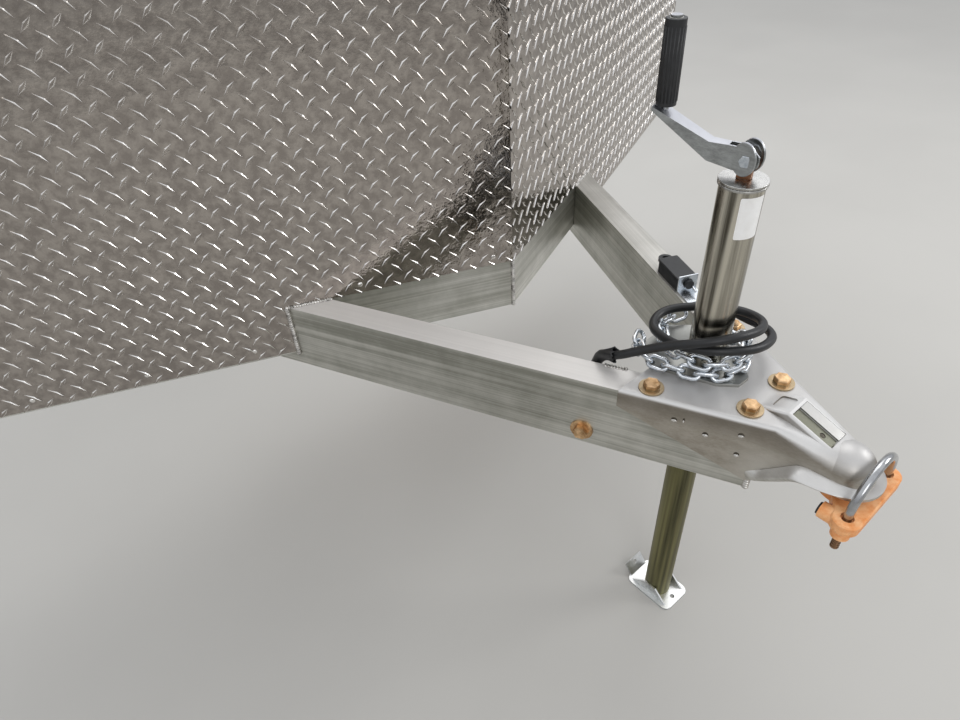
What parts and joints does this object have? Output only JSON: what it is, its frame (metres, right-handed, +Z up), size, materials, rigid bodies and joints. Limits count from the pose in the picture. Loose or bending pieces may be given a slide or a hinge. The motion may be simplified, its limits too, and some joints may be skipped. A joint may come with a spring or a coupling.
{
  "type": "enclosed cargo trailer front end with coupler and jack",
  "caption": "V-nose and A-frame tongue of an enclosed cargo trailer: aluminium frame, diamond plate stone guard, locked ball coupler, crank jack, chains and cord.",
  "frame": {"origin": "middle of the rear face of the first full-width crossmember, where this end meets the rest of the trailer", "axes": "-Y forward along the tongue, +Y the outward normal of the mounting face, +X towards the street side, +Z up"},
  "size_m": [2.143, 1.2275, 1.2674],
  "materials": {
    "mill_aluminium": "mill finish extrusion",
    "diamond_plate": "bright rolled tread plate",
    "plywood": "bare",
    "zinc_steel": "clear zinc plated stamping",
    "bright_zinc": "bright zinc plated",
    "yellow_zinc": "yellow zinc plated",
    "chrome": "polished",
    "galvanised": "zinc plated",
    "orange_paint": "weathered enamel",
    "black_plastic": "moulded",
    "cord_rubber": "satin jacket"
  },
  "bodies": {
    "frame": {"apex_post": "mill_aluminium", "breakaway_switch": "black_plastic", "chain_bolts": "yellow_zinc", "cord_gland": "cord_rubber", "cord_plug": "black_plastic", "corner_posts": "mill_aluminium", "coupler": "zinc_steel", "coupler_bolts": "yellow_zinc", "deck": "plywood", "jack_cap": "galvanised", "jack_tube": "chrome", "key_barrel": "black_plastic", "latch_lever": "zinc_steel", "lock_body": "orange_paint", "lock_shackle": "chrome", "nose_member_inner_curb": "mill_aluminium", "nose_member_inner_street": "mill_aluminium", "nose_member_outer_curb": "mill_aluminium", "nose_member_outer_street": "mill_aluminium", "nose_studs": "mill_aluminium", "rail_curb": "mill_aluminium", "rail_street": "mill_aluminium", "rear_crossmember": "mill_aluminium", "safety_chain_curb": "bright_zinc", "safety_chain_street": "bright_zinc", "stone_guard_curb": "diamond_plate", "stone_guard_street": "diamond_plate", "switch_bracket": "bright_zinc", "top_girt_curb": "mill_aluminium", "top_girt_street": "mill_aluminium", "trailer_cord": "cord_rubber"},
    "jack_ram": {"jack_leg": "galvanised", "jack_foot": "galvanised"},
    "crank_head": {"crank_spindle": "galvanised", "crank_bolt": "galvanised"},
    "crank_arm_body": {"crank_arm": "galvanised"},
    "crank_grip_body": {"crank_grip": "black_plastic"}
  },
  "joints": [
    {"name": "jack_travel", "type": "slide", "parent": "frame", "child": "jack_ram", "axis": [0, 0, -1], "range_m": [-0.33, 0.05]},
    {"name": "crank_spin", "type": "hinge", "parent": "frame", "child": "crank_head", "pos_m": [0, -0.938, 0.3538], "axis": [0, 0, 1], "continuous": true},
    {"name": "crank_fold", "type": "hinge", "parent": "crank_head", "child": "crank_arm_body", "pos_m": [0, -0.938, 0.3788], "axis": [0.9703, 0.2419, 0], "range_deg": [0, 180]},
    {"name": "grip_spin", "type": "hinge", "parent": "crank_arm_body", "child": "crank_grip_body", "pos_m": [-0.0271, -0.82933, 0.45], "axis": [0, 0, 1], "continuous": true}
  ]
}
